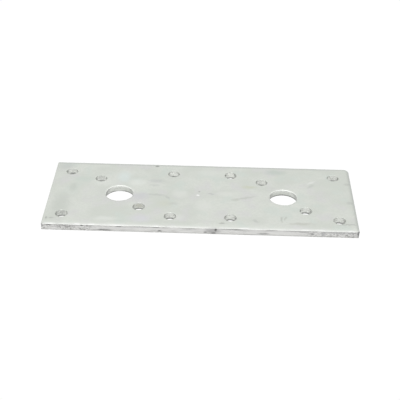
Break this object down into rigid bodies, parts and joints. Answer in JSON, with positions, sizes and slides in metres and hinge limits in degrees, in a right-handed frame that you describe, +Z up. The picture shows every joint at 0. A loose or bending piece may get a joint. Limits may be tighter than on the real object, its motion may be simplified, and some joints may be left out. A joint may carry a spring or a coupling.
{
  "type": "mending plate",
  "caption": "Flat rectangular galvanised steel plate for joining two timbers end to end, punched in each half with a bolt hole and smaller nail holes around it.",
  "frame": {"origin": "centre of the underside, the face that lies on the timber", "axes": "+X along the plate's length, +Y across its width, towards the edge nearer the diagonal pairs' -X holes, +Z up through its thickness, out of the face that the punch entered"},
  "size_m": [0.13, 0.0474, 0.0032],
  "materials": {
    "galvanised_steel": "matt, weathered hot-dip zinc with faint cloudy mottling"
  },
  "bodies": {
    "root": {"plate": "galvanised_steel"}
  },
  "joints": []
}
